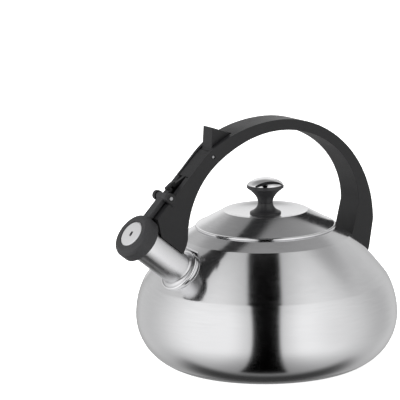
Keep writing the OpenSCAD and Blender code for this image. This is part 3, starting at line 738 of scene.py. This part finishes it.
# ---- Whistle cap: housing, arm, knuckle and tail in one moulding ----
# The housing is a short drum with a bevelled front, and it closes over the spout's mouth. Its black
# plastic has a coarser grain than the handle.
drum_r, socket_r, throat_r, lip_r = 18.5, 14.1, 11.4, 10.9
drum_back, drum_step, lip_back, drum_front = 46, 51.2, 56.9, 57.8
cap = turn_up("cap_drum", rounded([
    (socket_r, drum_back, 0.3), (drum_r - 0.4, drum_back, 0.3), (drum_r, drum_back + 0.5, 0.3),
    (drum_r, drum_front - 3.6, 0.8), (drum_r - 1, drum_front - 1.6, 0.8), (drum_r - 3.6, drum_front, 0.6),
    (lip_r, drum_front, 0.25), (lip_r, lip_back), (throat_r, lip_back), (throat_r, drum_step),
    (socket_r, drum_step)], closed=True), 112)
set_in(cap, spout_tilt - 90, spout_foot)
arm_end = 17.2 - math.dist(along_spout((drum_back + drum_front) / 2, drum_r), cap_hinge)
arm = plate("cap_arm", [along_leg(*p) for p in ((arm_end, 0.8), (19.2, 0.8), (19.2, 4.8), (arm_end, 4.8))],
            8, 0.6, 3)
room = turn_up("socket_room", [(0, 30), (socket_r, 30), (socket_r, drum_step), (throat_r, drum_step),
                               (throat_r, lip_back), (lip_r, lip_back), (lip_r, 70), (0, 70)], 112)
set_in(room, spout_tilt - 90, spout_foot)
cut(arm, room)
knuckle_r, tip_r = 3.2, 1.2
knuckle = rod("knuckle", cap_hinge, knuckle_r, -half_width, half_width, 64, 0.4)
tail = plate("tail", [on_link(*p) for p in (
    (0, -2.6), (0, 0.6), (tail_x - 0.6, 0.6), (tail_x, tail_z - tip_r))], rib_width)
tip = rod("tip", on_link(tail_x, tail_z), tip_r, -rib_width / 2, rib_width / 2, 32)
for piece in (arm, knuckle, tail, tip):
    cut(cap, piece, 'UNION')
cut(cap, rod("pin_hole", cap_hinge, pin_hole_r, -9, 9))
tidy(cap)
even_shading(cap)
cap_plastic = plastic("grained black plastic of the cap", (0.011, 0.011, 0.012), (0.032, 0.032, 0.034), 0.55,
                      1300, 0.6)
finished(cap, cap_plastic, "cap", "handle_plastic", "cap_lever")

disc_back, disc_front, half_slot, slot_width = 56.1, 57.6, 2.1, 2.6
disc = turn_up("whistle_disc", rounded([
    (0, disc_back), (11.2, disc_back), (11.2, disc_back + 0.7), (10.6, disc_back + 0.7),
    (10.6, disc_front - 0.15, 0.35), (9.6, disc_front), (0, disc_front)]), 96)
slot = plate("slot", [(-half_slot, 55), (-half_slot, 59), (half_slot, 59), (half_slot, 55)],
             slot_width, 0.9, 4)
cut(disc, slot)
set_in(disc, spout_tilt - 90, spout_foot)
tidy(disc)
disc_steel = steel("satin steel of the whistle", (0.9, 0.9, 0.91), (0.97, 0.97, 0.98), 0.34, 1200, 0.15,
                   turn=spout_tilt - 90, place=spout_foot)
finished(disc, disc_steel, "cap", "whistle_steel", "whistle_outer_plate")


# ---- Lid: pressed from 0.7 mm stainless sheet, with a rolled edge and a skirt inside ----
# A straight cone rises to a crisp crest, and the top is dished down to the seat of the knob.
seat_r, seat_z, crest_r, crest_z, lid_sheet = 14, 120.6, 34.2, 123.8, 0.7
lid_outline = ([(0, seat_z - lid_sheet), (seat_r, seat_z - lid_sheet)]
               + rounded([(seat_r, seat_z - lid_sheet), (crest_r, crest_z - 0.8, 1.2), (54.5, 111.7)])[1:]
               + [(54.6, 110.1)] + arc(56, 111, 1, -80, 92, 14)
               + rounded([(55.9, 112), (55.2, 112.1, 0.3), (crest_r, crest_z, 0.9), (30, 122.9)])[1:]
               + bend((30, 122.9), (26, 121.9), (20, seat_z), (seat_r, seat_z), 10)[1:] + [(0, seat_z)])
lid = turn_up("lid_dome", lid_outline, 160)
lid_steel = steel("polished steel of the lid", (0.7, 0.7, 0.71), (0.84, 0.84, 0.85), 0.15, 1500, 0.15,
                  length=5, anisotropic=0.3)
finished(lid, lid_steel, "lid", "lid_steel", "lid_shell")


# ---- Knob: two satin black mouldings and a chromed cap, held by a screw from inside the lid ----
# The flared foot and the flared grip meet at a narrow waist with a fine groove between them.
waist_z, grip_z, dome_z = seat_z + 9.4, seat_z + 23.2, seat_z + 29.4
knob_foot_r, waist_r, knob_r = 12.6, 6.1, 15
foot = turn_up("knob_base", [(0, seat_z)] + rounded([
    (0, seat_z), (knob_foot_r, seat_z, 0.3), (knob_foot_r, seat_z + 1, 0.5), (11.6, seat_z + 1.7)])[1:-1]
               + bend((12, seat_z + 1.5), (8.1, seat_z + 3), (waist_r, waist_z - 3.5),
                      (waist_r, waist_z - 0.5), 16)
               + [(5.9, waist_z - 0.3), (0, waist_z - 0.3)], 96)
grip = turn_up("knob_top", [(0, waist_z - 0.3), (5.5, waist_z - 0.3), (5.5, waist_z), (5.9, waist_z)]
               + bend((waist_r, waist_z + 0.2), (6.6, waist_z + 6), (12.5, grip_z - 4),
                      (knob_r, grip_z - 2), 18)
               + rounded([(knob_r, grip_z - 2), (knob_r, grip_z - 0.3, 0.4), (14.2, grip_z),
                          (0, grip_z)])[1:], 96)
knob_plastic = plastic("satin black plastic of the knob", (0.018, 0.018, 0.019), (0.03, 0.03, 0.032), 0.33,
                       900, 0.06, 0.08)
finished(foot, knob_plastic, "lid", "knob_plastic", "knob_foot")
finished(grip, knob_plastic, "lid", "knob_plastic", "knob_grip")
dome = turn_up("knob_dome", [(0, grip_z)] + rounded([
    (0, grip_z), (14.2, grip_z), (14.5, grip_z + 0.6, 0.3), (14.1, grip_z + 1.4)])[1:-1]
               + bend((14.1, grip_z + 1.3), (11.5, grip_z + 4.4), (5, dome_z), (0, dome_z), 20), 96)
chrome = steel("chrome of the knob", (0.84, 0.84, 0.85), (0.92, 0.92, 0.93), 0.06, 700, 0.03, streaky=0.02)
finished(dome, chrome, "lid", "knob_chrome", "knob_cap")


# ---- Plain pieces that the frame already has right ----
# The lid's skirt, the rear strap, the screws, springs, seal and whistle chamber are simple turned or
# bent parts, mostly hidden. They get the finishes that their makers give them.
seal_rubber = plastic("grey silicone of the seal", (0.36, 0.36, 0.36), (0.46, 0.46, 0.46), 0.6, 800, 0.1)
spring_steel = steel("spring wire", (0.5, 0.5, 0.51), (0.66, 0.66, 0.67), 0.3, 2200, 0.2)
for finish, names in ((lid_steel, ("lid_skirt",)), (seal_rubber, ("cap_seal",)),
                      (pin_steel, ("rear_bracket", "front_handle_screw", "rear_handle_screw", "knob_screw",
                                   "knob_washer")),
                      (spring_steel, ("trigger_spring", "cap_spring")),
                      (disc_steel, ("whistle_inner_plate", "whistle_spacer"))):
    for name in names:
        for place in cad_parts[name].material_slots:
            place.material = finish


bpy.context.view_layer.update()
